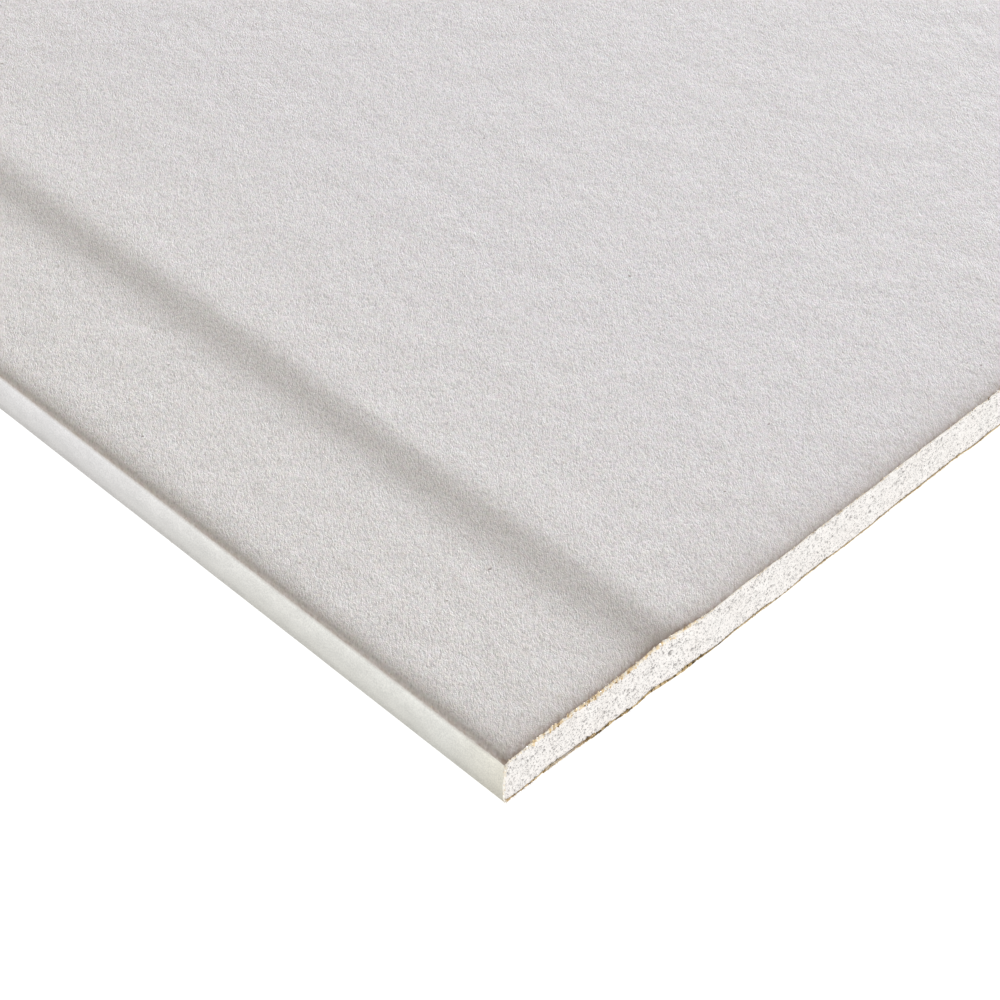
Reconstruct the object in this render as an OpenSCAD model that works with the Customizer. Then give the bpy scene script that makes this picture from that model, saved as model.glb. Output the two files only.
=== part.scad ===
// Gypsum wallboard sheet with tapered long edges, lying flat with its face up.
// A foamed gypsum core is bonded between two liner papers. The face paper covers the face,
// turns down round both long edges and laps onto the back. The back paper covers the back
// and the inner part of those laps. The two short ends are cut, and show the bare core.
// The length runs along X, the width along Y, and the back rests on the plane Z = 0.

/* [Sheet] */
// Length of the sheet, along its tapered edges
sheet_length = 2400; // [600:100:3600]
// Width of the sheet, across its tapered edges
sheet_width = 1200; // [400:50:1500]
// Full thickness of the sheet, both papers included
sheet_thickness = 12.5; // [9.5:0.5:25]

/* [Tapered face] */
// Distance from a long edge to the full thickness
taper_width = 52; // [45:1:80]
// Width of the ramp that ends the tapered zone
ramp_width = 26; // [10:1:30]
// Skew of the ramp: above 1, its steepest line lies nearer to the full thickness
ramp_skew = 1.6; // [1:0.1:2]
// Depth of the recess below the face
recess_depth = 0.7; // [0.6:0.1:2]
// Width of the shoulder that falls away from the recess to the crease
shoulder_width = 9; // [4:0.5:11]
// Height that the shoulder falls below the recess
shoulder_drop = 0.25; // [0.2:0.05:1]

/* [Wrapped edge] */
// Outer radius of the crease between the shoulder and the edge
crease_radius = 0.9; // [0.5:0.1:1.2]
// Outer radius of the fold between the edge and the back
fold_radius = 1; // [0.6:0.1:2]
// Height of the edge's outermost line above the back
belly_height = 4; // [2.5:0.25:4.5]
// Distance that the crease lies behind the outermost line
edge_lean = 0.6; // [0:0.1:1.2]
// Distance that the fold lies behind the outermost line
fold_tuck = 0.15; // [0:0.05:0.5]

/* [Liner papers] */
// Thickness of the face paper
face_paper_t = 0.35; // [0.2:0.01:0.45]
// Thickness of the back paper
back_paper_t = 0.35; // [0.2:0.01:0.5]
// Distance that the face paper laps onto the back, from a long edge
lap_width = 25; // [18:1:35]
// Strip of that lap which the back paper leaves bare
bare_lap_width = 11; // [6:1:16]
// Height of the bare strip above the plane of the back
bare_lap_rise = 0.1; // [0.05:0.05:0.2]
// Width over which the lap steps up to pass over the back paper
lap_step_width = 1; // [0.5:0.5:2]

/* [Hidden] */

RAMP_STEPS = 16;
SHOULDER_STEPS = 10;
CREASE_STEPS = 4;
LEAN_STEPS = 8;
TUCK_STEPS = 4;
FOLD_STEPS = 8;

half_width = sheet_width / 2;
ramp_start = taper_width - ramp_width;
recess_z = sheet_thickness - recess_depth;
// The shoulder is a quartic, so its slope is greatest at the crease and dies away to nothing
shoulder_power = 4;
shoulder_angle = atan(shoulder_power * shoulder_drop / shoulder_width);

// The crease turns from the shoulder's angle to that of the leaning edge below it
crease_centre_z = recess_z - shoulder_drop - crease_radius * cos(shoulder_angle);
lean_angle = atan(2 * edge_lean / (crease_centre_z - belly_height));
crease_centre = [edge_lean + crease_radius * cos(lean_angle), crease_centre_z];
lean_top_z = crease_centre_z + crease_radius * sin(lean_angle);
shoulder_start = crease_centre[0] - crease_radius * sin(shoulder_angle);

// The fold turns from the angle of the tucked edge above it to level
fold_centre_z = bare_lap_rise + fold_radius;
tuck_angle = atan(2 * fold_tuck / (belly_height - fold_centre_z));
fold_centre = [fold_tuck + fold_radius * cos(tuck_angle), fold_centre_z];
tuck_bottom_z = fold_centre_z - fold_radius * sin(tuck_angle);

// Height of the sheet's face at a distance from the long edge
function face_z(w) =
    let (
        shoulder_left = max(0, 1 - (w - shoulder_start) / shoulder_width),
        ramp_passed = pow(min(1, max(0, (w - ramp_start) / ramp_width)), ramp_skew)
    )
    recess_z
    - shoulder_drop * pow(shoulder_left, shoulder_power)
    + recess_depth * (ramp_passed - sin(360 * ramp_passed) / (2 * PI));

// The three functions below give a stretch of outline in equal steps, without its last point

// Face, from one distance from the long edge back to a smaller one
function face_points(from, to, steps) = [
    for (i = [0:steps - 1])
        let (w = from + (to - from) * i / steps)
        [w, face_z(w)]
];

// Parabola that is outermost at the belly, and lies a reach behind it at the height of its end
function bowed_points(from, to, end_z, reach, steps) = [
    for (i = [0:steps - 1])
        let (z = from + (to - from) * i / steps)
        [reach * pow((z - belly_height) / (end_z - belly_height), 2), z]
];

// Arc about a centre, from one angle to another
function arc_points(centre, radius, from, to, steps) = [
    for (i = [0:steps - 1])
        let (a = from + (to - from) * i / steps)
        centre + radius * [cos(a), sin(a)]
];

// Outer surface of the face paper at one long edge: from the full thickness down the ramp,
// over the shoulder and the crease, down the bowed edge, round the fold, and along the lap.
// Each point is [distance from the long edge, height].
edge_outline = concat(
    face_points(taper_width, ramp_start, RAMP_STEPS),
    [[ramp_start, recess_z]],
    face_points(shoulder_start + shoulder_width, shoulder_start, SHOULDER_STEPS),
    arc_points(crease_centre, crease_radius, 90 + shoulder_angle, 180 - lean_angle, CREASE_STEPS),
    bowed_points(lean_top_z, belly_height, lean_top_z, edge_lean, LEAN_STEPS),
    bowed_points(belly_height, tuck_bottom_z, tuck_bottom_z, fold_tuck, TUCK_STEPS),
    arc_points(fold_centre, fold_radius, 180 + tuck_angle, 270, FOLD_STEPS),
    [
        [fold_centre[0], bare_lap_rise],
        [bare_lap_width - lap_step_width, bare_lap_rise],
        [bare_lap_width, back_paper_t],
        [lap_width, back_paper_t]
    ]
);

// Unit vector square to a step between two points, towards the inside of the sheet
function inward(from, to) =
    let (step = (to - from) / norm(to - from))
    [-step[1], step[0]];

// The outline moved a depth into the sheet. Both of its ends run level.
function inset(points, depth) = [
    for (i = [0:len(points) - 1])
        let (
            before = i == 0 ? points[i] + [1, 0] : points[i - 1],
            after = i == len(points) - 1 ? points[i] + [1, 0] : points[i + 1],
            n1 = inward(before, points[i]),
            n2 = inward(points[i], after)
        )
        points[i] + depth * (n1 + n2) / (1 + n1 * n2)
];

// The same points placed on the edge at -Y or at +Y
function on_edge(points, side) = [for (p = points) [side * (half_width - p[0]), p[1]]];

function reversed(points) = [for (i = [len(points) - 1:-1:0]) points[i]];

// Draws a cross-section, in width and height, along the whole length
module along_sheet() {
    translate([-sheet_length / 2, 0, 0])
        rotate([90, 0, 90])
            linear_extrude(height = sheet_length)
                children();
}

// Cast core: it fills the papers, and steps up by one paper over each lap
module gypsum_core() {
    edge = concat(inset(edge_outline, face_paper_t), [[lap_width, back_paper_t]]);
    color([0.95, 0.94, 0.92])
        along_sheet()
            polygon(concat(on_edge(edge, -1), reversed(on_edge(edge, 1))));
}

// Face paper: one sheet over the face, down both long edges and onto the back
module face_paper() {
    inner = inset(edge_outline, face_paper_t);
    color([0.80, 0.78, 0.77])
        along_sheet()
            polygon(concat(
                reversed(on_edge(edge_outline, -1)),
                on_edge(edge_outline, 1),
                reversed(on_edge(inner, 1)),
                on_edge(inner, -1)
            ));
}

// Back paper: one flat sheet over the back, glued over the inner part of both laps
module back_paper() {
    paper_width = sheet_width - 2 * bare_lap_width;
    color([0.62, 0.53, 0.42])
        along_sheet()
            translate([-paper_width / 2, 0])
                square([paper_width, back_paper_t]);
}

gypsum_core();
face_paper();
back_paper();
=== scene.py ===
"""Looks of the drywall sheet: paper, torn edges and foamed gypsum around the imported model.

Lengths here are in millimetres, and make_piece() turns them into metres. The sheet lies on z = 0
with its length along X. Across it, w is the distance in from the nearer long edge, and along it,
s is the distance in from the nearer cut end.
"""

import math
from dataclasses import dataclass

import bpy
import numpy as np
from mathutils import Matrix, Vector


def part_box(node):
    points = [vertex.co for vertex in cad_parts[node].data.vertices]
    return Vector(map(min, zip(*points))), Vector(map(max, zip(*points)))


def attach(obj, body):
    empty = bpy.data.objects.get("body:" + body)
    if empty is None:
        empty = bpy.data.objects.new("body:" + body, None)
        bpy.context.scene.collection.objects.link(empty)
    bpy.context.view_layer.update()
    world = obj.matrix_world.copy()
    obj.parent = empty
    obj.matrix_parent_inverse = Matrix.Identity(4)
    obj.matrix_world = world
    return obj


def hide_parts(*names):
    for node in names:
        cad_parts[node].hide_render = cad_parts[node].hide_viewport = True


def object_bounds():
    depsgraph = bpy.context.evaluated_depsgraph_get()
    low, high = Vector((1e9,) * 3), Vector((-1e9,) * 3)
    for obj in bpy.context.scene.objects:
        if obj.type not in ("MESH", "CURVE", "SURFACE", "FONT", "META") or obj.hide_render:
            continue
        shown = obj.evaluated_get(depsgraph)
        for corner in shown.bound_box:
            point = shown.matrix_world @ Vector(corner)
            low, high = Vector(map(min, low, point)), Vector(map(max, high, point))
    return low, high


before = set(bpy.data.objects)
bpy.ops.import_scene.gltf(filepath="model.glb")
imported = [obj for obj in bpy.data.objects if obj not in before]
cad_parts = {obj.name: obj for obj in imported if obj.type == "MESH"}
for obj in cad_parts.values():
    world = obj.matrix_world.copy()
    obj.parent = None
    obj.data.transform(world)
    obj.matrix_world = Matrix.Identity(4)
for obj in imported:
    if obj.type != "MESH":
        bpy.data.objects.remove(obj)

MM = 0.001
BODY = "root"

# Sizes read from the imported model
CAD_LOW, CAD_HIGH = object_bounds()
HALF_LENGTH = CAD_HIGH.x / MM
HALF_WIDTH = CAD_HIGH.y / MM
THICKNESS = CAD_HIGH.z / MM
BACK_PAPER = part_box("back_paper")[1].z / MM
BARE_LAP_WIDTH = HALF_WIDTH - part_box("back_paper")[1].y / MM
BARE_LAP_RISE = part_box("face_paper")[0].z / MM

# Sizes of the tapered edge, as in the CAD source
TAPER_WIDTH = 52
RAMP_WIDTH = 26
RAMP_SKEW = 1.6
RECESS_DEPTH = 0.7
SHOULDER_WIDTH = 9
SHOULDER_DROP = 0.25
SHOULDER_POWER = 4
CREASE_RADIUS = 0.9
FOLD_RADIUS = 1
BELLY_HEIGHT = 4
EDGE_LEAN = 0.6
FOLD_TUCK = 0.15
FACE_PAPER = 0.35
LAP_WIDTH = 25
LAP_STEP_WIDTH = 1

RAMP_START = TAPER_WIDTH - RAMP_WIDTH
RECESS_Z = THICKNESS - RECESS_DEPTH
SHOULDER_ANGLE = math.atan(SHOULDER_POWER * SHOULDER_DROP / SHOULDER_WIDTH)
CREASE_Z = RECESS_Z - SHOULDER_DROP - CREASE_RADIUS * math.cos(SHOULDER_ANGLE)
LEAN_ANGLE = math.atan(2 * EDGE_LEAN / (CREASE_Z - BELLY_HEIGHT))
CREASE_W = EDGE_LEAN + CREASE_RADIUS * math.cos(LEAN_ANGLE)
LEAN_TOP_Z = CREASE_Z + CREASE_RADIUS * math.sin(LEAN_ANGLE)
SHOULDER_START = CREASE_W - CREASE_RADIUS * math.sin(SHOULDER_ANGLE)
FOLD_Z = BARE_LAP_RISE + FOLD_RADIUS
TUCK_ANGLE = math.atan(2 * FOLD_TUCK / (BELLY_HEIGHT - FOLD_Z))
FOLD_W = FOLD_TUCK + FOLD_RADIUS * math.cos(TUCK_ANGLE)
TUCK_BOTTOM_Z = FOLD_Z - FOLD_RADIUS * math.sin(TUCK_ANGLE)
ARRIS_W = CREASE_W - CREASE_RADIUS * math.sqrt(0.5)
ARRIS_Z = CREASE_Z + CREASE_RADIUS * math.sqrt(0.5)
# Where the wrapped edge's colour gives way to the face's, with its rub and painted shade
RUB_AND_SHADE_END_Z = CREASE_Z + 0.205

# Past the ramp the face falls back by a hair, so the ramp's top stands proud
CROWN_HEIGHT, CROWN_WIDTH = 0.04, 12

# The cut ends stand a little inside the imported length, and step back across each taper. The step
# differs between the face and the back: (depth, first w, last w). They wander, the back most.
CUT_INSET = 0.25
FACE_STEP = (1.2, 41, 58)
BACK_STEP = (1.03, 16, 60)
CUT_WANDER = 0.10
BACK_WANDER = 0.20

# The face rolls down to the cut: a wide shallow fall, and a tight one at the very edge
WIDE_ROLL, WIDE_ROLL_LENGTH = 0.10, 12
TIGHT_ROLL, TIGHT_ROLL_LENGTH = 0.16, 1.2

# How far the wrapped edge strays from straight at its top and bottom
EDGE_WOBBLE = 0.06

# Bumps of the broken gypsum: (height, size)
GYPSUM_BUMPS = ((0.05, 0.7), (0.08, 2.6), (0.05, 0.32))

# The cut end is finely modelled up to this distance from the photographed corner
FINE_WIDTH = 156
# Thickness of the blocks that carry the cut faces
SLAB_DEPTH = 3
# Direction of the paper's fibres, in degrees from X
FIBRE_ANGLE = 43

# How far in from a cut end the edge's colour changes, and from a long edge the face's
EDGE_AGED_REACH = 140.0
FACE_YELLOWED_REACH = 110.0

# Points of one chip, and the pieces and sides of one hair
CHIP_POINTS = 6
HAIR_SEGMENTS, HAIR_SIDES = 3, 3
HAIR_RADIUS = 0.030

# The photograph's camera, in degrees and millimetres. It looks at a point beside the near corner.
CAMERA_AZIMUTH, CAMERA_ELEVATION = 45.161, 43.418
CAMERA_TARGET = (-61.19, 58.85, 0)
CAMERA_DISTANCE = 518.15
CAMERA_LENS, CAMERA_SENSOR = 87.0, 36

# Sizes of the random tables
CURVE_KNOTS = 8192
SURFACE_KNOTS = 1024


# ---------------------------------------------------------------- shapes in numbers

def smoothstep(t):
    """Eased step: 0 up to t = 0, and 1 from t = 1."""
    t = np.clip(t, 0, 1)
    return t * t * (3 - 2 * t)


def noise_1d(t, wavelength, seed):
    """Smooth random curve from -1 to 1."""
    knots = np.random.default_rng(seed).uniform(-1, 1, CURVE_KNOTS)
    k = np.asarray(t, float) / wavelength + CURVE_KNOTS // 2
    i = np.floor(k).astype(int)
    f = smoothstep(k - i)
    return knots[i % CURVE_KNOTS] * (1 - f) + knots[(i + 1) % CURVE_KNOTS] * f


def noise_2d(a, b, wavelength, seed):
    """Smooth random surface from -1 to 1 at the points (a, b)."""
    size = SURFACE_KNOTS
    table = np.random.default_rng(seed).uniform(-1, 1, (size, size))
    ka, kb = np.asarray(a) / wavelength + size // 2, np.asarray(b) / wavelength + size // 2
    ia, ib = np.floor(ka).astype(int), np.floor(kb).astype(int)
    fa, fb = smoothstep(ka - ia), smoothstep(kb - ib)
    ia, ib, ja, jb = ia % size, ib % size, (ia + 1) % size, (ib + 1) % size
    near = table[ia, ib] * (1 - fb) + table[ia, jb] * fb
    far = table[ja, ib] * (1 - fb) + table[ja, jb] * fb
    return near * (1 - fa) + far * fa


def face_z(w):
    """Height of the face at a distance from the long edge."""
    shoulder_left = np.maximum(0, 1 - (w - SHOULDER_START) / SHOULDER_WIDTH)
    ramp_passed = np.clip((w - RAMP_START) / RAMP_WIDTH, 0, 1) ** RAMP_SKEW
    ramp = ramp_passed - np.sin(2 * np.pi * ramp_passed) / (2 * np.pi)
    crown = CROWN_HEIGHT * smoothstep((w - TAPER_WIDTH) / CROWN_WIDTH)
    return RECESS_Z - SHOULDER_DROP * shoulder_left ** SHOULDER_POWER + RECESS_DEPTH * ramp - crown


def steps(first, last, count):
    """Equal steps from first, without last."""
    return first + (last - first) * np.arange(count) / count


def bowed(first, last, end_z, reach, count):
    """Parabola that is outermost at the belly, as (w, z) points without the last one."""
    z = steps(first, last, count)
    return np.stack([reach * ((z - BELLY_HEIGHT) / (end_z - BELLY_HEIGHT)) ** 2, z], 1)


def arc(centre, radius, first, last, count):
    """Arc about a centre, as (w, z) points without the last one."""
    angle = steps(first, last, count)
    return np.stack([centre[0] + radius * np.cos(angle), centre[1] + radius * np.sin(angle)], 1)


def edge_outline():
    """Outer surface of the face paper at one long edge, from the full thickness to the lap's end."""
    ramp = steps(TAPER_WIDTH, RAMP_START, 18)
    recess = steps(RAMP_START, SHOULDER_START + SHOULDER_WIDTH, 10)
    shoulder = steps(SHOULDER_START + SHOULDER_WIDTH, SHOULDER_START, 14)
    face_w = np.concatenate([ramp, recess, shoulder])
    return np.concatenate([
        np.stack([face_w, face_z(face_w)], 1),
        arc((CREASE_W, CREASE_Z), CREASE_RADIUS,
            math.pi / 2 + SHOULDER_ANGLE, math.pi - LEAN_ANGLE, 7),
        bowed(LEAN_TOP_Z, BELLY_HEIGHT, LEAN_TOP_Z, EDGE_LEAN, 9),
        bowed(BELLY_HEIGHT, TUCK_BOTTOM_Z, TUCK_BOTTOM_Z, FOLD_TUCK, 5),
        arc((FOLD_W, FOLD_Z), FOLD_RADIUS, math.pi + TUCK_ANGLE, 1.5 * math.pi, 8),
        [(FOLD_W, BARE_LAP_RISE),
         (BARE_LAP_WIDTH - LAP_STEP_WIDTH, BARE_LAP_RISE),
         (BARE_LAP_WIDTH, BACK_PAPER),
         (LAP_WIDTH, BACK_PAPER)],
    ])


def inset(points, depth):
    """The outline moved a depth into the sheet. Both of its ends run level."""
    level = np.array([[1.0, 0.0]])
    padded = np.concatenate([points[:1] + level, points, points[-1:] + level])
    step = np.diff(padded, axis=0)
    step /= np.linalg.norm(step, axis=1)[:, None]
    normal = np.stack([-step[:, 1], step[:, 0]], 1)
    n1, n2 = normal[:-1], normal[1:]
    return points + depth * (n1 + n2) / (1 + (n1 * n2).sum(1))[:, None]


def level_stations(fine=2.0, coarse=60.0):
    """Places across the level middle of the sheet, fine up to FINE_WIDTH from the -Y edge."""
    near = np.arange(TAPER_WIDTH + fine, FINE_WIDTH, fine)
    rest = np.linspace(FINE_WIDTH, 2 * HALF_WIDTH - TAPER_WIDTH, int(2 * HALF_WIDTH / coarse))
    return np.concatenate([near, rest[:-1]]) - HALF_WIDTH


def across(points, middle_z=None):
    """An edge outline placed at both long edges and joined across the face, as (y, z) points."""
    left = np.stack([points[:, 0] - HALF_WIDTH, points[:, 1]], 1)[::-1]
    right = left[::-1] * (-1, 1)
    if middle_z is None:
        return np.concatenate([left, right])
    y = level_stations()
    z = face_z(from_edge(y)) - (THICKNESS - middle_z)
    return np.concatenate([left, np.stack([y, z], 1), right])


def from_edge(y):
    """Distance in from the nearer long edge."""
    return HALF_WIDTH - np.abs(y)


def cut_x(y, z, end):
    """How far out the cut reaches. The cut steps back across each taper, and wanders."""
    w = from_edge(y)
    face_step, back_step = (
        depth * (1 - smoothstep((w - first) / (last - first)))
        for depth, first, last in (FACE_STEP, BACK_STEP)
    )
    step = back_step + (face_step - back_step) * np.clip(z / THICKNESS, 0, 1)
    wander = CUT_WANDER * noise_1d(y, 13, 3 + end) + CUT_WANDER * noise_1d(y, 4.2, 5 + end)
    ragged = BACK_WANDER * noise_1d(y, 6.5, 7 + end) * (1 - smoothstep(z / 6))
    return HALF_LENGTH - CUT_INSET - step + wander + ragged


def roll_at(s, w, z):
    """How far a point has rolled down near the cut: the face most, and the lower part not at all."""
    wide = WIDE_ROLL * np.maximum(0, 1 - s / WIDE_ROLL_LENGTH) ** 3
    tight = TIGHT_ROLL * np.exp(-s / TIGHT_ROLL_LENGTH)
    return (wide + tight) * (0.6 + 0.4 * smoothstep(w / 4)) * smoothstep((z - 5) / 5)


def place(x, y, z, end_reach=60):
    """Moves points of the straight sheet to the worn one: the cut wanders, the face rolls to it."""
    end = np.sign(x)
    s = HALF_LENGTH - np.abs(x)
    w = from_edge(y)
    fade = (1 - np.clip(s / end_reach, 0, 1)) ** 2
    pulled = np.where(end > 0, cut_x(y, z, 1), cut_x(y, z, -1)) - HALF_LENGTH
    x = x + end * pulled * fade
    side = np.clip(1 - w / 4, 0, 1)
    upper = EDGE_WOBBLE * noise_1d(x, 14, 11) * side * smoothstep((z - 7) / 3)
    lower = EDGE_WOBBLE * noise_1d(x, 9, 13) * side * (1 - smoothstep(z / 4))
    return np.stack([x, y - np.sign(y) * np.abs(upper + lower), z - roll_at(s, w, z)], -1)


def end_steps(reach, count, power=2.0):
    """Places from a cut end inwards, closest together at the end."""
    return reach * (np.arange(count) / count) ** power


def stations(fine_reach, fine, coarse, dense_reach=40):
    """Places along X: dense at both cut ends, and finer near the +X end."""
    far_end = 2 * HALF_LENGTH
    near = np.concatenate([end_steps(dense_reach, 22), np.arange(dense_reach, fine_reach, fine)])
    rest = np.arange(fine_reach, far_end - dense_reach, coarse)
    s = np.concatenate([near, rest, far_end - end_steps(dense_reach, 16)[::-1]])
    return HALF_LENGTH - s


# ---------------------------------------------------------------- building meshes

def enclosed(mesh):
    """Volume that a closed mesh encloses. It is below zero where the faces point inwards."""
    mesh.calc_loop_triangles()
    triangles = np.empty(3 * len(mesh.loop_triangles), np.int32)
    mesh.loop_triangles.foreach_get("vertices", triangles)
    points = np.empty(3 * len(mesh.vertices), np.float32)
    mesh.vertices.foreach_get("co", points)
    a, b, c = points.reshape(-1, 3)[triangles.reshape(-1, 3)].astype(float).transpose(1, 0, 2)
    return np.einsum("ij,ij->", a, np.cross(b, c)) / 6


def make_piece(name, vertices, faces, material, replaces=(), attributes=None, sharp=40):
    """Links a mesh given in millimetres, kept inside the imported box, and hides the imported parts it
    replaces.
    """
    low, high = np.array(CAD_LOW) / MM, np.array(CAD_HIGH) / MM
    mesh = bpy.data.meshes.new(name)
    mesh.from_pydata((np.clip(vertices, low, high) * MM).tolist(), [], faces)
    if enclosed(mesh) < 0:
        mesh.flip_normals()
    mesh.polygons.foreach_set("use_smooth", [True] * len(mesh.polygons))
    mesh.set_sharp_from_angle(angle=math.radians(sharp))
    for key, values in (attributes or {}).items():
        layer = mesh.attributes.new(key, "FLOAT", "POINT")
        layer.data.foreach_set("value", np.asarray(values, np.float32))
    mesh.materials.append(material)
    mesh.update()
    piece = bpy.data.objects.new(name, mesh)
    bpy.context.scene.collection.objects.link(piece)
    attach(piece, BODY)
    if replaces:
        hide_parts(*replaces)
    return piece


def ring_faces(rings, around):
    """Quads between successive closed rings of points."""
    i, j = np.meshgrid(np.arange(rings - 1), np.arange(around), indexing="ij")
    k = (j + 1) % around
    quads = np.stack([i * around + j, i * around + k, (i + 1) * around + k, (i + 1) * around + j], -1)
    return [tuple(q) for q in quads.reshape(-1, 4).tolist()]


def tube_faces(rings, around):
    """Closed tube: the quads between its rings, and its two ends."""
    last = (rings - 1) * around
    return ring_faces(rings, around) + [
        tuple(range(around))[::-1],
        tuple(last + i for i in range(around)),
    ]


def repeated(faces, count, stride):
    """The same faces for each of many like bodies, whose points follow one another."""
    return [tuple(k * stride + v for v in face) for k in range(count) for face in faces]


def thick_sheet(outer, inner, xs, move):
    """Closed shell between two curves across the sheet, swept through places along X."""
    count = len(outer)
    ring = np.concatenate([outer, inner[::-1]])
    x = np.repeat(xs, len(ring)).reshape(len(xs), -1)
    y = np.broadcast_to(ring[:, 0], x.shape)
    z = np.broadcast_to(ring[:, 1], x.shape)
    vertices = move(x, y, z).reshape(-1, 3)
    faces = ring_faces(len(xs), 2 * count)
    last = (len(xs) - 1) * 2 * count
    for i in range(count - 1):
        cap = (i, 2 * count - 1 - i, 2 * count - 2 - i, i + 1)
        faces.append(cap)
        faces.append(tuple(last + v for v in reversed(cap)))
    return vertices, faces


def slab(front, back_x):
    """Closed block whose front is a grid of points, and whose back is flat at one X."""
    rows, columns, _ = front.shape
    grid = np.arange(rows * columns).reshape(rows, columns)
    quads = np.stack([grid[:-1, :-1], grid[1:, :-1], grid[1:, 1:], grid[:-1, 1:]], -1)
    faces = [tuple(q) for q in quads.reshape(-1, 4).tolist()]
    rim = np.concatenate([grid[:-1, 0], grid[-1, :-1], grid[:0:-1, -1], grid[0, :0:-1]])
    vertices = front.reshape(-1, 3)
    behind = vertices[rim].copy()
    behind[:, 0] = back_x
    first = len(vertices)
    for i in range(len(rim)):
        k = (i + 1) % len(rim)
        faces.append((int(rim[k]), int(rim[i]), first + i, first + k))
    faces.append(tuple(range(first + len(rim) - 1, first - 1, -1)))
    return np.concatenate([vertices, behind]), faces


def unit(vectors):
    """Vectors with the same directions and length 1."""
    return vectors / np.linalg.norm(vectors, axis=-1, keepdims=True)


def strands(base, direction, length, radius, curl, rng, segments=HAIR_SEGMENTS, sides=HAIR_SIDES):
    """Thin bent hairs, each a closed tapering tube."""
    count = len(base)
    point, heading = base.astype(float), unit(direction)
    helper = rng.normal(size=(count, 3))
    rings = []
    for k in range(segments + 1):
        a = unit(np.cross(heading, helper))
        b = np.cross(heading, a)
        r = radius * (1 - 0.75 * k / segments)
        for side in range(sides):
            t = 2 * math.pi * side / sides
            rings.append(point + r[:, None] * (math.cos(t) * a + math.sin(t) * b))
        point = point + heading * (length / segments)[:, None]
        heading = unit(heading + curl * rng.normal(size=(count, 3)))
    faces = repeated(tube_faces(segments + 1, sides), count, (segments + 1) * sides)
    return np.stack(rings, 1).reshape(-1, 3), faces


def flakes(centre, size, rng):
    """Small irregular chips, each a closed body of eight faces. size holds each chip's radius."""
    count = len(centre)
    a = unit(rng.normal(size=(count, 3)))
    b = unit(np.cross(a, rng.normal(size=(count, 3))))
    c = np.cross(a, b)
    spikes = []
    for axis, flat in ((a, 1.3), (b, 0.9), (c, 0.55)):
        for side in (1, -1):
            reach = flat * size * rng.uniform(0.6, 1.3, count)
            spikes.append(centre + side * axis * reach[:, None])
    faces = [(p, q, r) if (p == 0) ^ (q == 2) ^ (r == 4) else (p, r, q)
             for p in (0, 1) for q in (2, 3) for r in (4, 5)]
    return np.stack(spikes, 1).reshape(-1, 3), repeated(faces, count, 6)


# ---------------------------------------------------------------- materials

def add(tree, kind, inputs=None, **settings):
    """Adds a node. An input is a plain value, or a socket to link from."""
    made = tree.nodes.new(kind)
    for key, value in settings.items():
        setattr(made, key, value)
    for key, value in (inputs or {}).items():
        if isinstance(value, bpy.types.NodeSocket):
            tree.links.new(value, made.inputs[key])
        else:
            made.inputs[key].default_value = value
    return made


def blank(name, roughness, specular):
    """A material with one Principled shader, and object coordinates in millimetres."""
    material = bpy.data.materials.new(name)
    material.use_nodes = True
    tree = material.node_tree
    shader = tree.nodes["Principled BSDF"]
    shader.inputs["Roughness"].default_value = roughness
    shader.inputs["Specular IOR Level"].default_value = specular
    place_at = add(tree, "ShaderNodeTexCoord").outputs["Object"]
    scaled = add(tree, "ShaderNodeVectorMath", {0: place_at, "Scale": 1 / MM}, operation="SCALE")
    return material, tree, shader, scaled.outputs[0]


def turned(tree, coords, degrees):
    """Coordinates turned about Z."""
    return add(tree, "ShaderNodeVectorRotate", {"Vector": coords, "Angle": math.radians(degrees)},
               rotation_type="Z_AXIS").outputs[0]


def noise(tree, coords, scale, detail=2.0, roughness=0.5, stretch=None, output="Fac"):
    """Noise whose grain is 1 / scale millimetres. stretch makes it longer along X, Y or Z."""
    if stretch:
        squeeze = tuple(1 / s for s in stretch)
        coords = add(tree, "ShaderNodeVectorMath", {0: coords, 1: squeeze},
                     operation="MULTIPLY").outputs[0]
    made = add(tree, "ShaderNodeTexNoise",
               {"Vector": coords, "Scale": scale, "Detail": detail, "Roughness": roughness})
    return made.outputs[output]


def maths(tree, operation, a, b=0.0, c=0.0, clamp=False):
    """Result of one Math node."""
    made = add(tree, "ShaderNodeMath", {0: a, 1: b, 2: c}, operation=operation, use_clamp=clamp)
    return made.outputs[0]


def mixed(tree, fac, a, b, blend="MIX"):
    """Colour b laid over colour a."""
    made = add(tree, "ShaderNodeMix", data_type="RGBA", blend_type=blend)
    for index, value in ((0, fac), (6, a), (7, b)):
        if isinstance(value, bpy.types.NodeSocket):
            tree.links.new(value, made.inputs[index])
        else:
            made.inputs[index].default_value = value
    return made.outputs[2]


def grey(tree, value):
    """A value as a grey colour."""
    return add(tree, "ShaderNodeCombineColor", {0: value, 1: value, 2: value}).outputs[0]


def ramp(tree, fac, *stops):
    """Colour ramp with stops of (place, colour)."""
    made = add(tree, "ShaderNodeValToRGB", {"Fac": fac})
    points = made.color_ramp.elements
    while len(points) < len(stops):
        points.new(0.5)
    for point, (where, colour) in zip(points, stops):
        point.position = where
        point.color = colour
    return made.outputs["Color"]


def mask(tree, value, low, high):
    """Black up to one value, and white from a higher one."""
    return ramp(tree, value, (low, (0, 0, 0, 1)), (high, (1, 1, 1, 1)))


def times(tree, colour, factor):
    """A colour multiplied by another one."""
    return mixed(tree, 1.0, colour, factor, "MULTIPLY")


def inwards(tree, coords, axis, half):
    """Distance in from the nearer end of an axis."""
    along = add(tree, "ShaderNodeSeparateXYZ", {0: coords}).outputs[axis]
    return maths(tree, "SUBTRACT", half, maths(tree, "ABSOLUTE", along))


def read(tree, name):
    """Value of one of the mesh's attributes."""
    return add(tree, "ShaderNodeAttribute", attribute_name=name).outputs["Fac"]


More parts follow.
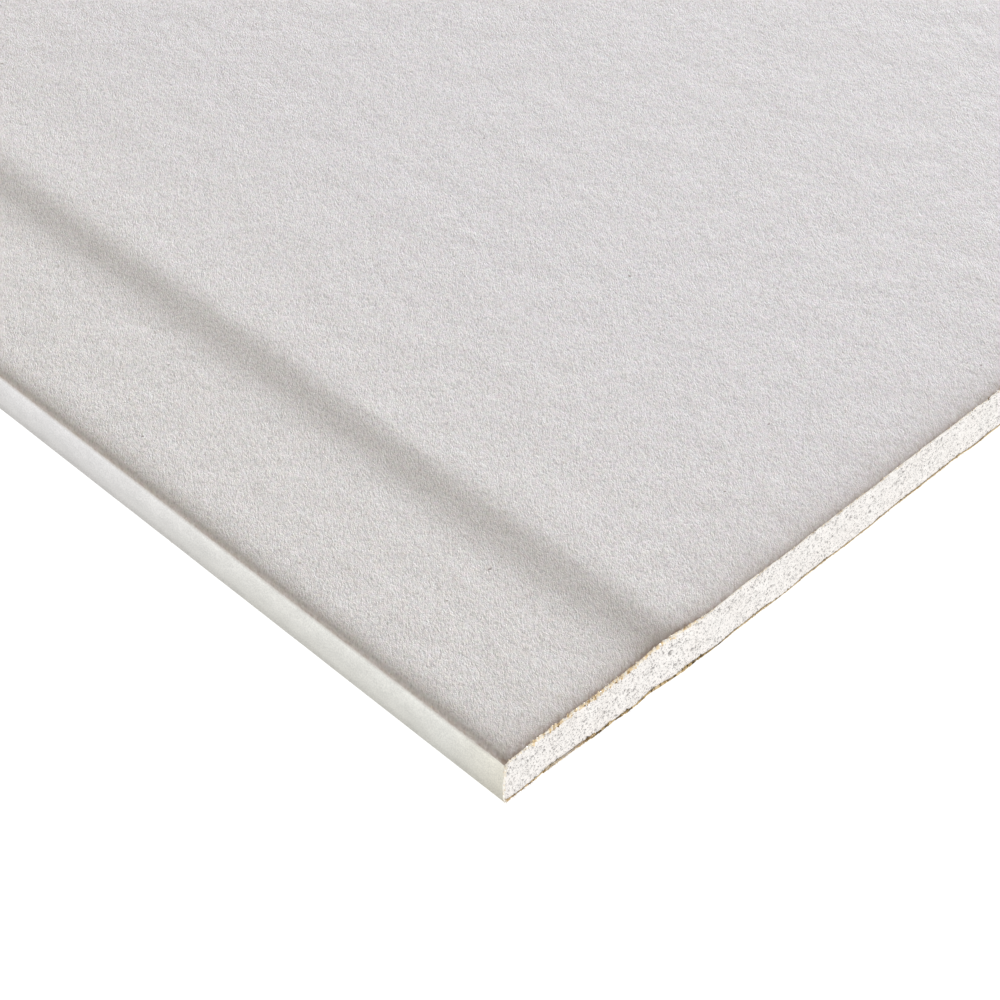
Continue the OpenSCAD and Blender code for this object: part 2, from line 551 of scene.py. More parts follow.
def bump(tree, shader, *layers):
    """Bump from layers of (height, depth in millimetres, strength)."""
    normal = None
    for height, depth, strength in layers:
        inputs = {"Height": height, "Distance": depth * MM, "Strength": strength}
        if normal is not None:
            inputs["Normal"] = normal
        normal = add(tree, "ShaderNodeBump", inputs).outputs["Normal"]
    tree.links.new(normal, shader.inputs["Normal"])


def edge_colour(tree, coords):
    """The wrapped edge: whiter than the face, darker towards its bottom as painted shade, yellower near
    the cut ends.
    """
    z = add(tree, "ShaderNodeSeparateXYZ", {0: coords}).outputs[2]
    # Painted shade: the edge's colour is darker towards its bottom and lighter at its top
    colour = ramp(tree, maths(tree, "DIVIDE", z, THICKNESS),
                  (0.05, (0.515, 0.510, 0.472, 1)),
                  (0.20, (0.578, 0.575, 0.540, 1)),
                  (0.28, (0.640, 0.638, 0.600, 1)),
                  (0.50, (0.716, 0.718, 0.682, 1)),
                  (0.86, (0.852, 0.855, 0.820, 1)))
    stains = noise(tree, coords, 0.22, 4.0, 0.65, stretch=(1.6, 1, 1))
    mottle = noise(tree, coords, 3.0, 3.0, 0.75)
    colour = times(tree, colour, grey(tree, maths(tree, "MULTIPLY_ADD", stains, 0.34, 0.83)))
    colour = times(tree, colour, grey(tree, maths(tree, "MULTIPLY_ADD", mottle, 0.84, 0.58)))
    from_end = inwards(tree, coords, 0, HALF_LENGTH)
    aged = ramp(tree, maths(tree, "DIVIDE", from_end, EDGE_AGED_REACH),
                (0.00, (0.985, 0.955, 0.885, 1)),
                (0.12, (1.000, 1.000, 1.000, 1)),
                (0.50, (1.000, 0.995, 1.005, 1)),
                (0.90, (1.000, 0.990, 1.045, 1)))
    colour = times(tree, colour, aged)
    soil = maths(tree, "MULTIPLY", mask(tree, mottle, 0.66, 0.74), 0.5)
    return mixed(tree, soil, colour, (0.40, 0.34, 0.25, 1))


def face_colour(tree, coords, grained, felt):
    """The face: grey pulp, painted shade in the felt's pits, pale hairs, brown specks, yellower near
    the long edges.
    """
    tint = noise(tree, coords, 0.9, 3.0, 0.6, output="Color")
    colour = mixed(tree, 0.09, (0.639, 0.604, 0.587, 1), tint)
    from_side = inwards(tree, coords, 1, HALF_WIDTH)
    yellowed = ramp(tree, maths(tree, "DIVIDE", from_side, FACE_YELLOWED_REACH),
                    (0.20, (1.002, 1.000, 0.972, 1)),
                    (0.45, (1.002, 1.000, 0.980, 1)),
                    (1.00, (1.000, 1.000, 1.000, 1)))
    colour = times(tree, colour, yellowed)
    # Painted shade: the felt's low places are darkened
    pit_shade = maths(tree, "SUBTRACT", 0.53, felt, clamp=True)
    colour = times(tree, colour, grey(tree, maths(tree, "MULTIPLY_ADD", pit_shade, -1.25, 1.075)))
    hairs = noise(tree, grained, 2.0, 0.0, 0.5, stretch=(6, 1, 1))
    bright = maths(tree, "MULTIPLY", mask(tree, hairs, 0.66, 0.74), 0.22)
    colour = mixed(tree, bright, colour, (0.80, 0.785, 0.765, 1))
    specks = noise(tree, grained, 1.3, 1.0, 0.5, stretch=(1.8, 1, 1))
    brown = maths(tree, "MULTIPLY", mask(tree, specks, 0.74, 0.79), 0.55)
    return mixed(tree, brown, colour, (0.36, 0.30, 0.25, 1))


def face_paper_material():
    """Pale grey liner: felted fibres on the face, smoother and whiter round the edge."""
    material, tree, shader, coords = blank("face_paper_liner", 0.9, 0.15)
    wrap = read(tree, "wrap")
    rub_and_shade = read(tree, "rub_and_shade")
    grained = turned(tree, coords, FIBRE_ANGLE)
    felt = noise(tree, grained, 3.1, 2.0, 0.6, stretch=(2.4, 1, 1))
    pits = noise(tree, coords, 4.6, 1.0, 0.5)
    clumps = noise(tree, grained, 0.45, 2.0, 0.5, stretch=(1.6, 1, 1))
    cockle = noise(tree, coords, 0.08, 3.0, 0.55)

    face = face_colour(tree, coords, grained, felt)
    colour = mixed(tree, wrap, face, edge_colour(tree, coords))
    # The face darkens towards brown by the cut ends and arrises: partly rub, partly painted shade
    streak = noise(tree, grained, 1.3, 3.0, 0.7, stretch=(2.2, 1, 1))
    streaky = maths(tree, "MULTIPLY_ADD", streak, 3.2, -0.6)
    wear_and_shade = maths(tree, "MULTIPLY", rub_and_shade, streaky, clamp=True)
    colour = mixed(tree, wear_and_shade, colour, (0.360, 0.290, 0.245, 1))
    tree.links.new(colour, shader.inputs["Base Color"])

    calm = maths(tree, "MULTIPLY_ADD", wrap, -0.5, 1.0)
    bump(tree, shader, (cockle, 0.17, 1.0), (clumps, 0.06, calm), (felt, 0.070, calm),
         (pits, 0.047, calm))
    return material


def back_paper_material():
    """Grey-brown recycled liner with visible fibres and flecks."""
    material, tree, shader, coords = blank("back_paper_liner", 0.92, 0.15)
    fibres = noise(tree, coords, 2.0, 4.0, 0.6, stretch=(3, 1, 1))
    cloud = noise(tree, coords, 0.12, 3.0, 0.6)
    flecks = noise(tree, coords, 1.1, 2.0, 0.5)
    base = ramp(tree, cloud, (0.3, (0.330, 0.262, 0.188, 1)), (0.7, (0.390, 0.318, 0.236, 1)))
    fibre = ramp(tree, fibres, (0.35, (0.86, 0.84, 0.82, 1)), (0.7, (1.0, 1.0, 1.0, 1)))
    colour = times(tree, base, fibre)
    colour = mixed(tree, mask(tree, flecks, 0.70, 0.76), colour, (0.16, 0.12, 0.085, 1))
    tree.links.new(colour, shader.inputs["Base Color"])
    bump(tree, shader, (fibres, 0.03, 1.0), (cloud, 0.1, 1.0))
    return material


def gypsum_material():
    """White foamed plaster. A mesh attribute is 1 at the bottom of a modelled pore, and paints shade
    there.
    """
    material, tree, shader, coords = blank("foamed_gypsum", 0.95, 0.1)
    pore_shade = read(tree, "pore_shade")
    grit = noise(tree, coords, 4.0, 3.0, 0.75)
    cloud = noise(tree, coords, 0.16, 2.0, 0.5)
    base = ramp(tree, cloud, (0.3, (0.912, 0.880, 0.855, 1)), (0.7, (0.936, 0.914, 0.893, 1)))
    base = times(tree, base, grey(tree, maths(tree, "MULTIPLY_ADD", grit, 0.50, 0.755)))
    # Painted shade: dark spots at the cell centres stand for shaded pores that have no shape
    cells = add(tree, "ShaderNodeTexVoronoi", {"Vector": coords, "Scale": 2.3}, feature="F1")
    bubble_shade = ramp(tree, cells.outputs["Distance"], (0.20, (1, 1, 1, 1)), (0.27, (0, 0, 0, 1)))
    base = mixed(tree, maths(tree, "MULTIPLY", bubble_shade, 0.88), base, (0.26, 0.25, 0.245, 1))
    # Painted shade at the bottom of each modelled pore
    colour = mixed(tree, pore_shade, base, (0.24, 0.23, 0.23, 1))
    tree.links.new(colour, shader.inputs["Base Color"])
    bump(tree, shader, (grit, 0.10, 1.0))
    return material


def torn_material(name, *stops):
    """Torn paper ply. The tone attribute runs through the colours from 0 to 1."""
    material, tree, shader, coords = blank(name, 0.9, 0.1)
    tone = read(tree, "tone")
    speck = noise(tree, coords, 2.6, 3.0, 0.6)
    varied = maths(tree, "ADD", tone, maths(tree, "MULTIPLY_ADD", speck, 0.5, -0.25), clamp=True)
    tree.links.new(ramp(tree, varied, *stops), shader.inputs["Base Color"])
    bump(tree, shader, (speck, 0.12, 1.0))
    return material


def fleck_material():
    """Grey-brown bits of bark and ink in the recycled pulp."""
    material, tree, shader, coords = blank("pulp_fleck", 0.85, 0.15)
    patch = noise(tree, coords, 0.4, 2.0, 0.5)
    colour = ramp(tree, patch, (0.3, (0.22, 0.185, 0.165, 1)), (0.7, (0.38, 0.34, 0.31, 1)))
    tree.links.new(colour, shader.inputs["Base Color"])
    bump(tree, shader, (patch, 0.02, 1.0))
    return material


# ---------------------------------------------------------------- pieces

OUTER = edge_outline()
INNER = inset(OUTER, FACE_PAPER)


def rub_and_painted_shade(x, s, w):
    """How much the face darkens along the cut ends and the long edges, 0 to 1: brown rub and painted
    shade.
    """
    level = smoothstep((w - 50) / 10)
    tail = 0.15 + 0.06 * level
    rim = 0.22 * np.exp(-s / 0.25)
    ends = rim + (0.68 - 0.36 * level) * np.exp(-s / 1.3) + tail * np.exp(-s / 7)
    near_arris = np.maximum(w - ARRIS_W, 0)
    patchy = 1 + noise_1d(x, 13, 41)
    sides = 0.40 * np.exp(-near_arris / 0.38) + 0.02 * patchy * np.exp(-near_arris / 4)
    return np.clip(ends + sides, 0, 1)


def face_paper_sheet(material):
    """Face liner: over the face, down both long edges and onto the back."""
    outer = across(OUTER, THICKNESS)
    inner = across(INNER, THICKNESS - FACE_PAPER)
    xs = stations(fine_reach=170, fine=6, coarse=50)
    s = np.repeat(HALF_LENGTH - np.abs(xs), 2 * len(outer))
    vertices, faces = thick_sheet(outer, inner, xs, place)
    w, z = from_edge(vertices[:, 1]), vertices[:, 2]
    wrap = smoothstep((RUB_AND_SHADE_END_Z - z) / 0.1) * (w < LAP_WIDTH)
    # How much brown rub and painted shade darken the face, kept off the wrapped edge
    rub_and_shade = rub_and_painted_shade(vertices[:, 0], s, w) * (1 - wrap)
    make_piece("face_paper_sheet", vertices, faces, material,
               ["face_paper"], {"wrap": wrap, "rub_and_shade": rub_and_shade}, 50)


def back_paper_sheet(material):
    """Back liner: one flat sheet, glued over the inner part of both laps."""
    half = HALF_WIDTH - BARE_LAP_WIDTH
    bevel = 0.15
    fine = np.arange(bevel - half, FINE_WIDTH - HALF_WIDTH, 2)
    coarse = np.linspace(FINE_WIDTH - HALF_WIDTH, half - bevel, 24)
    y = np.concatenate([[-half], fine, coarse, [half]])
    lift = np.zeros(len(y))
    lift[[0, -1]] = 0.06
    low = np.stack([y, lift], 1)
    high = np.stack([y, BACK_PAPER - 0.8 * lift], 1)
    xs = stations(fine_reach=160, fine=12, coarse=40)
    vertices, faces = thick_sheet(low, high, xs, place)

    # The two long edges of the paper wander inwards
    side = np.abs(vertices[:, 1]) > half - 0.1
    stray = 0.12 * np.abs(noise_1d(vertices[side, 0], 21, 31))
    vertices[side, 1] -= np.sign(vertices[side, 1]) * stray
    make_piece("back_paper_sheet", vertices, faces, material,
               ["back_paper"], None, 50)


def core_bottom(w):
    """Underside of the core: it steps up over each lap."""
    bare = BARE_LAP_RISE + FACE_PAPER
    lapped = BACK_PAPER + FACE_PAPER
    z = bare + (lapped - bare) * smoothstep((w - BARE_LAP_WIDTH + LAP_STEP_WIDTH) / LAP_STEP_WIDTH)
    return np.where(w > LAP_WIDTH, BACK_PAPER, z)


def core_body(material):
    """The core behind the two cut faces."""
    ring = across(np.concatenate([INNER, [(LAP_WIDTH, BACK_PAPER)]]))
    xs = np.linspace(HALF_LENGTH - SLAB_DEPTH, SLAB_DEPTH - HALF_LENGTH, 40)
    x = np.repeat(xs, len(ring)).reshape(len(xs), -1)
    y, z = np.broadcast_to(ring[:, 0], x.shape), np.broadcast_to(ring[:, 1], x.shape)
    vertices = np.stack([x, y, z], -1).reshape(-1, 3)
    make_piece("gypsum_core_body", vertices, tube_faces(len(xs), len(ring)), material,
               ["gypsum_core"], {"pore_shade": np.zeros(len(vertices))}, 40)


def pore_field(y, z, density, median, spread, smallest, rng):
    """Depth of round pores broken open by the cut, and how deep in a pore each point lies."""
    low, high = y.min(), y.max()
    top = z.max()
    depth, inside = np.zeros_like(y), np.zeros_like(y)
    step_y = abs(y[-1, 0] - y[0, 0]) / (y.shape[0] - 1)
    for _ in range(int(density * (high - low) * top)):
        py, pz = rng.uniform(low, high), rng.uniform(0, top)
        radius = 0.5 * median * math.exp(spread * rng.normal())
        squash, turn = rng.uniform(0.6, 1.0), rng.uniform(0, math.pi)
        cavity = rng.uniform(0.8, 1.6)
        if radius < smallest:
            continue
        reach = int(radius / step_y) + 4
        i = int(round((py - y[0, 0]) / (y[-1, 0] - y[0, 0]) * (y.shape[0] - 1)))
        part = slice(max(0, i - reach), i + reach + 1)
        dy, dz = y[part] - py, z[part] - pz
        a = math.cos(turn) * dy + math.sin(turn) * dz
        b = (math.cos(turn) * dz - math.sin(turn) * dy) / squash
        hollow = np.sqrt(np.clip(1 - (a * a + b * b) / radius ** 2, 0, 1))
        depth[part] = np.maximum(depth[part], cavity * radius * hollow)
        inside[part] = np.maximum(inside[part], hollow)
    return depth, inside


def cut_face(name, end, y_first, y_last, cell, material, density, median, smallest, seed):
    """Broken face of the core between two places across the sheet."""
    y = np.linspace(y_first, y_last, int(abs(y_last - y_first) / cell) + 1)
    v = np.linspace(0, 1, int(THICKNESS / cell) + 1)
    w = np.maximum(from_edge(y), SHOULDER_START)
    bottom = core_bottom(w)
    top = face_z(w) - FACE_PAPER
    z = bottom[:, None] + v[None, :] * (top - bottom)[:, None]

    # Near a long edge the columns bend to follow the inside of the wrapped paper
    left = INNER[(INNER[:, 1] < CREASE_Z + 0.3) & (INNER[:, 0] < 1.2)]
    order = np.argsort(left[:, 1])
    rim_w = np.interp(z, left[order, 1], left[order, 0])
    bend = (rim_w - SHOULDER_START) * np.clip(1 - (w[:, None] - SHOULDER_START) / 6, 0, 1)
    y_grid = np.sign(y)[:, None] * (HALF_WIDTH - w[:, None] - bend)

    rng = np.random.default_rng(seed)
    depth, inside = pore_field(y_grid, z, density, median, 0.42, smallest, rng)
    rough = sum(height * noise_2d(y_grid, z, size, seed + 1 + i)
                for i, (height, size) in enumerate(GYPSUM_BUMPS))
    bulge = 0.10 * np.sin(np.pi * v)[None, :]
    x = cut_x(y_grid, z, end) - 0.06 + rough + bulge - depth
    front = np.stack([end * x, y_grid, z - roll_at(0, w[:, None], z)], -1)
    vertices, faces = slab(front, end * (HALF_LENGTH - SLAB_DEPTH))
    # Attribute that paints shade at the bottom of each pore
    pore_shade = np.concatenate([inside.ravel(), np.zeros(len(vertices) - inside.size)])
    make_piece(name, vertices, faces, material, ["gypsum_core"], {"pore_shade": pore_shade}, 80)


def resample(points, spacing):
    """The same path with equal steps."""
    reach = np.concatenate([[0], np.cumsum(np.linalg.norm(np.diff(points, axis=0), axis=1))])
    places = np.linspace(0, reach[-1], int(reach[-1] / spacing) + 1)
    return np.stack([np.interp(places, reach, points[:, k]) for k in range(points.shape[1])], 1)


class CutPath:
    """The middle of a paper's thickness along a cut, as (y, z) points, with what is near it."""

    def __init__(self, points, spacing, end):
        self.points = resample(points, spacing)
        self.spacing = spacing
        self.end = end
        self.w = from_edge(self.points[:, 0])
        ahead = unit(np.gradient(self.points, axis=0))
        self.normal = np.stack([-ahead[:, 1], ahead[:, 0]], 1)
        self.travel = spacing * np.arange(len(self.points))

    def at(self, index, along_normal, out):
        """Places near the path: moved along its normal in the cut, and out from the cut."""
        moved = self.points[index] + self.normal[index] * along_normal[..., None]
        y, z = moved[..., 0], moved[..., 1]
        x = cut_x(y, z, self.end) + out
        return np.stack([self.end * x, y, z - roll_at(0, from_edge(y), z)], -1)


@dataclass
class Tear:
    """Torn ply of a paper along a cut. Each array has one value for each point of the path."""

    path: CutPath
    tall: np.ndarray        # size in the cut, across the paper
    hang: np.ndarray        # how far it lies inside the middle of the paper
    out: np.ndarray         # how far it stands out of the cut
    tone: np.ndarray        # place in the material's colours
    dark_share: np.ndarray  # share of the chips that are dark
    material: bpy.types.Material
    slot: str


def torn_lip(name, tear, seed, sides=8):
    """Lumpy closed tube along the cut edge of a paper."""
    travel = tear.path.travel
    count = len(travel)
    lump = 0.6 * noise_1d(travel, 0.35, seed) + 0.4 * noise_1d(travel, 1.6, seed + 1)
    angle = 2 * np.pi * np.arange(sides) / sides
    jag = noise_2d(travel[:, None], 3 * angle[None, :], 0.35, seed + 2)
    tall_r = 0.5 * tear.tall[:, None] * (1 + 0.35 * lump[:, None] + 0.35 * jag)
    out_r = tear.out[:, None] * (1 + 0.5 * lump[:, None] + 0.5 * jag)
    shift = 0.2 * tear.tall * (noise_1d(travel, 1.1, seed + 3) - 1) - tear.hang
    index = np.repeat(np.arange(count), sides).reshape(count, sides)
    level = shift[:, None] + tall_r * np.sin(angle)
    vertices = tear.path.at(index, level, 0.02 + out_r * np.cos(angle)).reshape(-1, 3)
    make_piece(name, vertices, tube_faces(count, sides), tear.material, (),
               {"tone": np.repeat(np.clip(tear.tone, 0, 1), sides)}, 70)


def torn_chips(tear, index, size, sunk, rng):
    """Chips at places of the path, with their tones. sunk moves them inwards by a share of tall."""
    count = len(index)
    level = tear.tall[index] * (0.60 * rng.uniform(-1, 1, count) - sunk) - tear.hang[index]
    centre = tear.path.at(index, level, tear.out[index] * rng.uniform(-0.3, 1.1, count))
    radius = size * (0.5 + tear.tall[index] / 0.5) * 0.7 * np.exp(0.5 * rng.normal(size=count))
    vertices, faces = flakes(centre, radius, rng)
    dark = rng.uniform(size=count) < tear.dark_share[index]
    tone = tear.tone[index] * (1 - 0.9 * dark) + 0.24 * rng.normal(size=count)
    return vertices, faces, np.repeat(np.clip(tone, 0, 1), CHIP_POINTS)


def torn_hairs(tear, index, sunk, rng):
    """Short fibres that stand out of the cut, with their tones. sunk is as for the chips."""
    count = len(index)
    level = tear.tall[index] * (0.5 * rng.uniform(-1, 1, count) - sunk) - tear.hang[index]
    base = tear.path.at(index, level, 0.5 * tear.out[index])
    across_cut = tear.path.normal[index] * rng.normal(size=count)[:, None]
    outwards = tear.path.end * rng.uniform(0.2, 1.2, count)
    heading = np.stack([outwards, across_cut[:, 0], across_cut[:, 1]], 1)
    heading = heading + 0.7 * rng.normal(size=(count, 3))
    length = rng.uniform(0.25, 0.8, count)
    vertices, faces = strands(base, heading, length, np.full(count, HAIR_RADIUS), 0.5, rng)
    tone = tear.tone[index] + 0.3 * rng.normal(size=count)
    return vertices, faces, np.repeat(np.clip(tone, 0, 1), (HAIR_SEGMENTS + 1) * HAIR_SIDES)


def torn_bits(name, tear, per_mm, size, sunk, seed):
    """Chips and short fibres scattered over the cut edge of a paper."""
    rng = np.random.default_rng(seed)
    path = tear.path
    count = int(per_mm * path.travel[-1])
    corner = (path.w < 0.8) * (path.points[:, 1] < 1.6)
    chance = np.exp(1.6 * noise_1d(path.travel, 1.5, seed + 7)) * (1 + 3 * corner)
    chance /= chance.sum()
    index = rng.choice(len(path.points), count, p=chance)
    chips, chip_faces, chip_tone = torn_chips(tear, index, size, sunk, rng)
    index = rng.choice(len(path.points), count // 3, p=chance)
    hairs, hair_faces, hair_tone = torn_hairs(tear, index, sunk, rng)
    faces = chip_faces + [tuple(len(chips) + v for v in face) for face in hair_faces]
    make_piece(name, np.concatenate([chips, hairs]), faces, tear.material, (),
               {"tone": np.concatenate([chip_tone, hair_tone])}, 80)


def torn_face_edges(material):
    """The face paper's torn ply: thick and golden across the taper, thin and pale beyond it."""
    middle_z = THICKNESS - FACE_PAPER / 2
    points = across(inset(OUTER, FACE_PAPER / 2), middle_z)
    fine_end = FINE_WIDTH - HALF_WIDTH
    split = np.argmax(points[:, 0] > fine_end)
    turn = np.array([(fine_end, middle_z)])
    for name, part, spacing, end, per_mm, size, seed in (
        ("corner", np.concatenate([points[:split], turn]), 0.14, 1, 30, 0.088, 201),
        ("end", np.concatenate([turn, points[split:]]), 0.8, 1, 1.2, 0.16, 211),
        ("far_end", points, 0.8, -1, 1.2, 0.16, 221),
    ):
        path = CutPath(part, spacing, end)
        lap = (path.points[:, 1] < 2) * (path.w > 0.8)
        frayed = smoothstep((path.w - 3) / 6) * (1 - smoothstep((path.w - 46) / 14)) * (1 - lap)
        edge = path.w < 2
        flat = smoothstep((path.w - 50) / 12)
        tall = 0.26 + 0.54 * frayed + 0.12 * edge
        hang = 0.20 * frayed
        out = 0.10 + 0.16 * frayed + 0.10 * edge
        patches = 0.14 * noise_1d(path.travel, 2.5, seed + 71)
        patches = patches + 0.26 * noise_1d(path.travel, 0.4, seed + 72)
        patchy = 1 - 0.7 * np.maximum(edge, flat)
        tone = 0.88 - 0.16 * frayed - 0.60 * lap + 0.14 * flat + 0.08 * edge + patches * patchy
        tear = Tear(path, tall, hang, out, tone, 0.05 + 0.22 * flat, material, "face_paper")
        torn_lip("torn_face_lip_" + name, tear, seed)
        torn_bits("torn_face_bits_" + name, tear, per_mm, size, 0.22, seed + 5)


def torn_back_edges(material):
    """The back paper's torn ply: a thin broken brown line."""
    half = HALF_WIDTH - BARE_LAP_WIDTH
    fine_end = FINE_WIDTH - HALF_WIDTH
    for name, first, last, spacing, end, per_mm, size, seed in (
        ("corner", -half, fine_end, 0.14, 1, 17, 0.096, 301),
        ("end", fine_end, half, 0.8, 1, 1.0, 0.14, 311),
        ("far_end", -half, half, 0.8, -1, 1.0, 0.14, 321),
    ):
        level = BACK_PAPER / 2
        path = CutPath(np.array([(first, level), (last, level)]), spacing, end)
        gaps = noise_1d(path.travel, 5.0, seed + 81)
        thick = smoothstep((path.w - 14) / 14) * (1 - smoothstep((path.w - 52) / 12))
        chewed = thick * (0.60 + 0.40 * noise_1d(path.travel, 1.2, seed + 84))
        tall = 0.17 + 0.46 * chewed + 0.10 * np.maximum(gaps, 0)
        hang = -0.14 * chewed
        out = 0.11 + 0.10 * chewed + 0.10 * np.maximum(gaps, 0)
        patches = 0.12 * noise_1d(path.travel, 3.0, seed + 82)
        patches = patches + 0.42 * noise_1d(path.travel, 0.5, seed + 83)
        beyond = smoothstep((path.w - 58) / 10)
        tone = 0.56 - 0.16 * thick + 0.26 * beyond + patches * (0.6 + 0.4 * thick)
        dark_share = np.full(len(tone), 0.08)
        tear = Tear(path, tall, hang, out, tone, dark_share, material, "back_paper")
        torn_lip("torn_back_lip_" + name, tear, seed)
        torn_bits("torn_back_bits_" + name, tear, per_mm, size, 0.0, seed + 5)


def edge_nicks(pale, brown):
    """Pale tufts along the two arrises, and brown bits under the two folds."""
    for name, material, w, z, spacing, size, tone, seed in (
        ("arris_tufts", pale, ARRIS_W, ARRIS_Z, 20, 0.09, 0.95, 501),
        ("fold_bits", brown, FOLD_TUCK + 0.40, BARE_LAP_RISE + 0.40, 5, 0.09, 0.40, 511),
    ):
        rng = np.random.default_rng(seed)
        count = int(4 * HALF_LENGTH / spacing)
        x = rng.uniform(2 - HALF_LENGTH, HALF_LENGTH - 2, count)
        side = rng.choice((-1, 1), count)
        centre = np.stack([x, side * (HALF_WIDTH - w), np.full(count, z)], 1)
        centre[:, 1:] += 0.06 * rng.normal(size=(count, 2))
        radius = size * np.exp(0.45 * rng.normal(size=count))
        vertices, faces = flakes(centre, radius, rng)
        values = np.clip(tone + 0.2 * rng.normal(size=count), 0, 1)
        make_piece(name, vertices, faces, material, (),
                   {"tone": np.repeat(values, CHIP_POINTS)}, 80)


def paper_flecks(material, count, seed):
    """Small dark inclusions pressed into the face."""
    rng = np.random.default_rng(seed)
    x = rng.uniform(-HALF_LENGTH + 4, HALF_LENGTH - 4, count)
    y = rng.uniform(-HALF_WIDTH + 4, HALF_WIDTH - 4, count)
    z = face_z(from_edge(y))
    size = 0.12 * np.exp(0.4 * rng.normal(size=count))
    long = rng.uniform(1.0, 2.4, count)
    turn = rng.uniform(0, np.pi, count)
    sides = 5
    angle = 2 * np.pi * np.arange(sides) / sides
    a = (size * long)[:, None] * np.cos(angle)[None, :] * rng.uniform(0.8, 1.2, (count, sides))
    b = size[:, None] * np.sin(angle)[None, :] * rng.uniform(0.8, 1.2, (count, sides))
    px = x[:, None] + a * np.cos(turn)[:, None] - b * np.sin(turn)[:, None]
    py = y[:, None] + a * np.sin(turn)[:, None] + b * np.cos(turn)[:, None]
    low = np.stack([px, py, np.repeat(z, sides).reshape(px.shape) - 0.06], -1)
    high = low + (0, 0, 0.059)
    high[..., 2] += 0.012
    vertices = np.concatenate([low, high], 1).reshape(-1, 3)
    faces = repeated(tube_faces(2, sides), count, 2 * sides)
    make_piece("paper_flecks", vertices, faces, material, (), None, 80)


# ---------------------------------------------------------------- studio

def camera():
    """The photograph's viewpoint: over the near corner, looking down on it."""
    azimuth, elevation = math.radians(CAMERA_AZIMUTH), math.radians(CAMERA_ELEVATION)
    back = Vector((math.sin(azimuth) * math.cos(elevation),
                   -math.cos(azimuth) * math.cos(elevation),
                   math.sin(elevation)))
    corner = Vector((HALF_LENGTH, -HALF_WIDTH, 0))
    target = corner + Vector(CAMERA_TARGET)
    data = bpy.data.cameras.new("camera")
    data.sensor_width = CAMERA_SENSOR
    data.lens = CAMERA_LENS
    data.clip_start, data.clip_end = 0.01, 200
    made = bpy.data.objects.new("camera", data)
    made.location = (target + back * CAMERA_DISTANCE) * MM
    made.rotation_mode = "QUATERNION"
    made.rotation_quaternion = (-back).to_track_quat("-Z", "Y")
    bpy.context.scene.collection.objects.link(made)
    bpy.context.scene.camera = made


def sun(name, towards_x, towards_y, elevation, level, spread, colour):
    """Distant soft light from a direction. level is the radiance it gives a white level surface."""
    data = bpy.data.lights.new(name, "SUN")
    rise = math.radians(elevation)
    data.energy = level * math.pi / math.sin(rise)
    data.angle = math.radians(spread)
    data.color = colour
    made = bpy.data.objects.new(name, data)
    flat = Vector((towards_x, towards_y, 0)).normalized() * math.cos(rise)
    from_light = -(flat + Vector((0, 0, math.sin(rise))))
    made.rotation_mode = "QUATERNION"
    made.rotation_quaternion = from_light.to_track_quat("-Z", "Y")
    bpy.context.scene.collection.objects.link(made)


def low_flags():
    """Unseen cards behind the far long edge and the far end. They keep the low key off those upright
    sides, which would otherwise burn out."""
    x, y = HALF_LENGTH + 60, HALF_WIDTH + 60
    for name, first, last, height in (
        ("flag_side", (-x, y), (x, y), 22),
        ("flag_end", (-x, -y), (-x, y + 120), 36),
    ):
        corners = np.array([(*first, 0), (*last, 0), (*last, height), (*first, height)]) * MM
        mesh = bpy.data.meshes.new(name)
        mesh.from_pydata(corners.tolist(), [], [(0, 1, 2, 3)])
        flag = bpy.data.objects.new(name, mesh)
        flag.visible_camera = False
        flag.visible_diffuse = False
        flag.visible_glossy = False
        bpy.context.scene.collection.objects.link(flag)


def dome():
    """Even warm-white light from all round."""
    world = bpy.data.worlds.new("dome")
    world.use_nodes = True
    background = world.node_tree.nodes["Background"]
    background.inputs["Color"].default_value = (1.03, 1.0, 0.95, 1)
    background.inputs["Strength"].default_value = 0.42
    bpy.context.scene.world = world


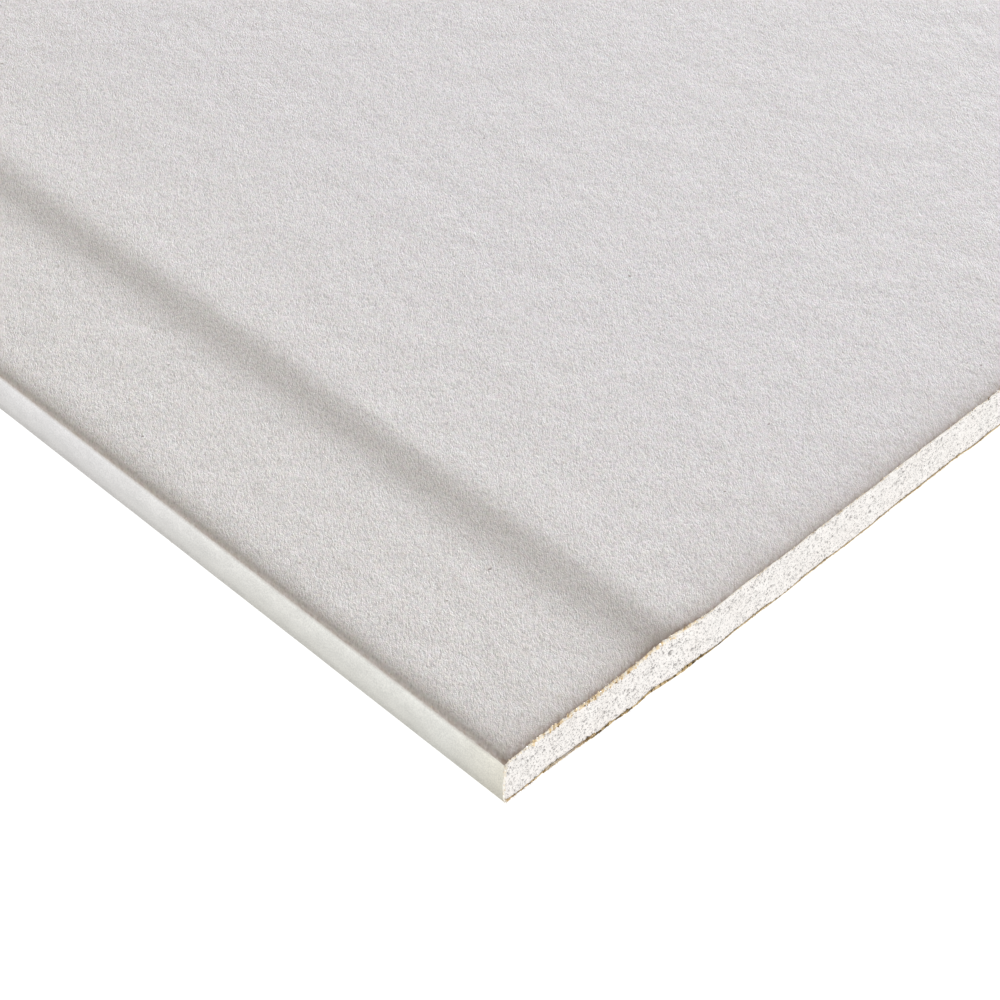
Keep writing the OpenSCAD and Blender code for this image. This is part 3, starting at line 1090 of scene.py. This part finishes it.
def pale_floor(size=60, depth=-0.0002):
    """A level floor that glows, in metres, a hair below the sheet: it stays white round the shadow."""
    material = bpy.data.materials.new("pale_floor")
    material.use_nodes = True
    shader = material.node_tree.nodes["Principled BSDF"]
    shader.inputs["Base Color"].default_value = (0.22, 0.22, 0.22, 1)
    shader.inputs["Roughness"].default_value = 1.0
    shader.inputs["Specular IOR Level"].default_value = 0.0
    shader.inputs["Emission Color"].default_value = (1, 1, 1, 1)
    shader.inputs["Emission Strength"].default_value = 0.96
    mesh = bpy.data.meshes.new("floor")
    corners = [(-size, -size, depth), (size, -size, depth), (size, size, depth), (-size, size, depth)]
    mesh.from_pydata(corners, [], [(0, 1, 2, 3)])
    mesh.materials.append(material)
    floor = bpy.data.objects.new("floor", mesh)
    bpy.context.scene.collection.objects.link(floor)


def studio():
    """White floor, white dome, a low soft key from the far side and a frontal fill."""
    dome()
    low_flags()
    sun("key", -0.4, 0.92, elevation=5.4, level=0.50, spread=6, colour=(0.94, 0.98, 1.08))
    sun("fill", 0.8, -0.6, elevation=14, level=0.12, spread=50, colour=(1, 1, 1))
    pale_floor()


def build():
    """Places the camera and every piece of the sheet."""
    camera()
    gypsum = gypsum_material()
    face_ply = torn_material("torn_face_ply",
                             (0.00, (0.16, 0.10, 0.045, 1)),
                             (0.28, (0.55, 0.38, 0.18, 1)),
                             (0.55, (0.88, 0.70, 0.44, 1)),
                             (0.80, (0.94, 0.86, 0.72, 1)),
                             (1.00, (0.96, 0.94, 0.89, 1)))
    back_ply = torn_material("torn_back_ply",
                             (0.00, (0.09, 0.06, 0.025, 1)),
                             (0.25, (0.22, 0.15, 0.07, 1)),
                             (0.55, (0.62, 0.46, 0.23, 1)),
                             (1.00, (0.88, 0.76, 0.54, 1)))
    face_paper_sheet(face_paper_material())
    back_paper_sheet(back_paper_material())
    core_body(gypsum)
    near, far = SHOULDER_START - HALF_WIDTH, HALF_WIDTH - SHOULDER_START
    fine_end = FINE_WIDTH - HALF_WIDTH
    for name, end, first, last, cell, density, median, smallest, seed in (
        ("gypsum_cut_corner", 1, near, fine_end, 0.155, 3.0, 0.25, 0.09, 101),
        ("gypsum_cut_end", 1, fine_end, far, 0.55, 1.2, 0.62, 0.28, 121),
        ("gypsum_cut_far_end", -1, near, far, 0.55, 1.2, 0.62, 0.28, 141),
    ):
        cut_face(name, end, first, last, cell, gypsum, density, median, smallest, seed)
    torn_face_edges(face_ply)
    torn_back_edges(back_ply)
    edge_nicks(face_ply, back_ply)
    paper_flecks(fleck_material(), 3400, 401)


build()
studio()
bpy.context.scene.view_settings.view_transform = "Standard"
